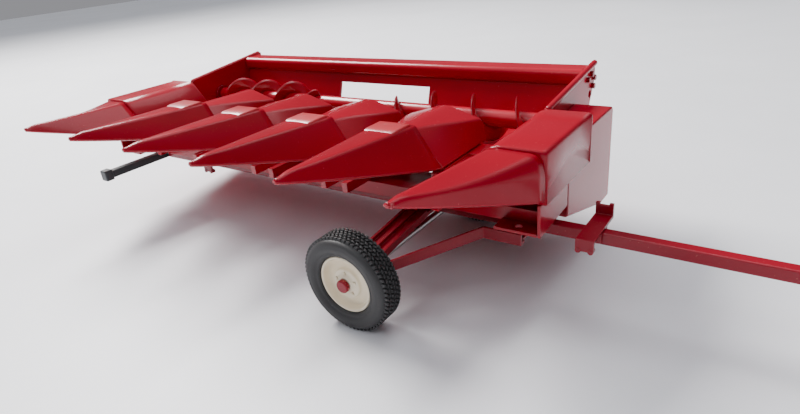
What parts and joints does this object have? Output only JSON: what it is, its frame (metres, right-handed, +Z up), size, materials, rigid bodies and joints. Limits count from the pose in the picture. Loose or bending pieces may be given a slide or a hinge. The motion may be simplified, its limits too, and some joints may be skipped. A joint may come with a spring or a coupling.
{
  "type": "scale model row-crop header on a two-wheel header cart",
  "caption": "Red scale-model row-crop header with pointed snouts, cross auger and end drives, carried on a low two-wheel cart with a long drawbar.",
  "frame": {"origin": "bottom centre of the bounding box, on the ground under the middle of the model", "axes": "+X along the drawbar to the hitch, -Y towards the snout tips, +Z up"},
  "size_m": [0.4514, 0.1748, 0.081],
  "materials": {
    "red_painted_sheet": "gloss red enamel",
    "red_painted_frame": "gloss red enamel",
    "red_hood_plastic": "gloss red moulded plastic",
    "red_moulded_part": "gloss red moulded plastic",
    "charcoal_bar": "satin charcoal",
    "bare_pin": "satin",
    "tyre_rubber": "matt black rubber",
    "cream_rim": "satin cream"
  },
  "bodies": {
    "cart": {"cart_beam": "red_painted_frame", "bumper_bar": "charcoal_bar", "saddle_left": "red_painted_frame", "saddle_right": "red_painted_frame", "axle_leg_near": "red_painted_frame", "axle_leg_far": "red_painted_frame", "axle_shaft": "bare_pin", "axle_end_caps": "red_painted_frame", "brace_near": "red_painted_frame", "brace_far": "red_painted_frame", "support_arm_left": "red_painted_frame", "support_arm_right": "red_painted_frame", "support_rail": "red_painted_frame", "hitch_tongue": "red_painted_frame", "stand_pin": "bare_pin"},
    "header": {"back_sheet": "red_painted_sheet", "top_cap": "red_painted_sheet", "auger_trough": "red_painted_sheet", "rear_frame_tube": "red_painted_sheet", "front_rail": "red_painted_sheet", "end_plate_left": "red_painted_sheet", "end_plate_right": "red_painted_sheet", "auger_bushes": "red_painted_frame", "hood_2": "red_hood_plastic", "hood_3": "red_hood_plastic", "hood_4": "red_hood_plastic", "hood_5": "red_hood_plastic", "outer_hood_left": "red_hood_plastic", "outer_hood_right": "red_hood_plastic", "snout_hinge_pins": "red_painted_frame", "chain_case_left": "red_painted_sheet", "chain_case_right": "red_painted_sheet", "row_unit_1": "red_moulded_part", "row_unit_2": "red_moulded_part", "row_unit_3": "red_moulded_part", "row_unit_4": "red_moulded_part", "row_unit_5": "red_moulded_part", "side_panel_left": "red_painted_sheet", "side_panel_right": "red_painted_sheet", "end_plate_bolts": "red_painted_frame"},
    "auger": {"auger_tube": "red_moulded_part", "auger_flight_left": "red_moulded_part", "auger_flight_right": "red_moulded_part"},
    "snout_1": {"snout_1": "red_hood_plastic"},
    "snout_2": {"snout_2": "red_hood_plastic"},
    "snout_3": {"snout_3": "red_hood_plastic"},
    "snout_4": {"snout_4": "red_hood_plastic"},
    "snout_5": {"snout_5": "red_hood_plastic"},
    "snout_6": {"snout_6": "red_hood_plastic"},
    "wheel_near": {"tyre_near": "tyre_rubber", "rim_near": "cream_rim"},
    "wheel_far": {"tyre_far": "tyre_rubber", "rim_far": "cream_rim"},
    "stand": {"stand_leg": "red_painted_frame"}
  },
  "joints": [
    {"name": "header_lift_off", "type": "slide", "parent": "cart", "child": "header", "axis": [0, 0, 1], "range_m": [0, 0.06]},
    {"name": "auger_spin", "type": "hinge", "parent": "header", "child": "auger", "pos_m": [-0.07925, 0.04557, 0.059], "axis": [1, 0, 0], "continuous": true},
    {"name": "snout_1_fold", "type": "hinge", "parent": "header", "child": "snout_1", "pos_m": [-0.19925, -0.02993, 0.0686], "axis": [-1, 0, 0], "range_deg": [0, 20]},
    {"name": "snout_2_fold", "type": "hinge", "parent": "header", "child": "snout_2", "pos_m": [-0.15125, -0.01493, 0.0686], "axis": [-1, 0, 0], "range_deg": [0, 20]},
    {"name": "snout_3_fold", "type": "hinge", "parent": "header", "child": "snout_3", "pos_m": [-0.10325, -0.01493, 0.0686], "axis": [-1, 0, 0], "range_deg": [0, 20]},
    {"name": "snout_4_fold", "type": "hinge", "parent": "header", "child": "snout_4", "pos_m": [-0.05525, -0.01493, 0.0686], "axis": [-1, 0, 0], "range_deg": [0, 20]},
    {"name": "snout_5_fold", "type": "hinge", "parent": "header", "child": "snout_5", "pos_m": [-0.00725, -0.01493, 0.0686], "axis": [-1, 0, 0], "range_deg": [0, 20]},
    {"name": "snout_6_fold", "type": "hinge", "parent": "header", "child": "snout_6", "pos_m": [0.04075, -0.02993, 0.0686], "axis": [-1, 0, 0], "range_deg": [0, 20]},
    {"name": "wheel_near_spin", "type": "hinge", "parent": "cart", "child": "wheel_near", "pos_m": [-0.00125, -0.06344, 0.0215], "axis": [0, 1, 0], "continuous": true},
    {"name": "wheel_far_spin", "type": "hinge", "parent": "cart", "child": "wheel_far", "pos_m": [-0.00125, 0.04657, 0.0215], "axis": [0, 1, 0], "continuous": true},
    {"name": "stand_swing", "type": "hinge", "parent": "cart", "child": "stand", "pos_m": [-0.16725, 0.05906, 0.0275], "axis": [0, -1, 0], "range_deg": [0, 90]}
  ]
}
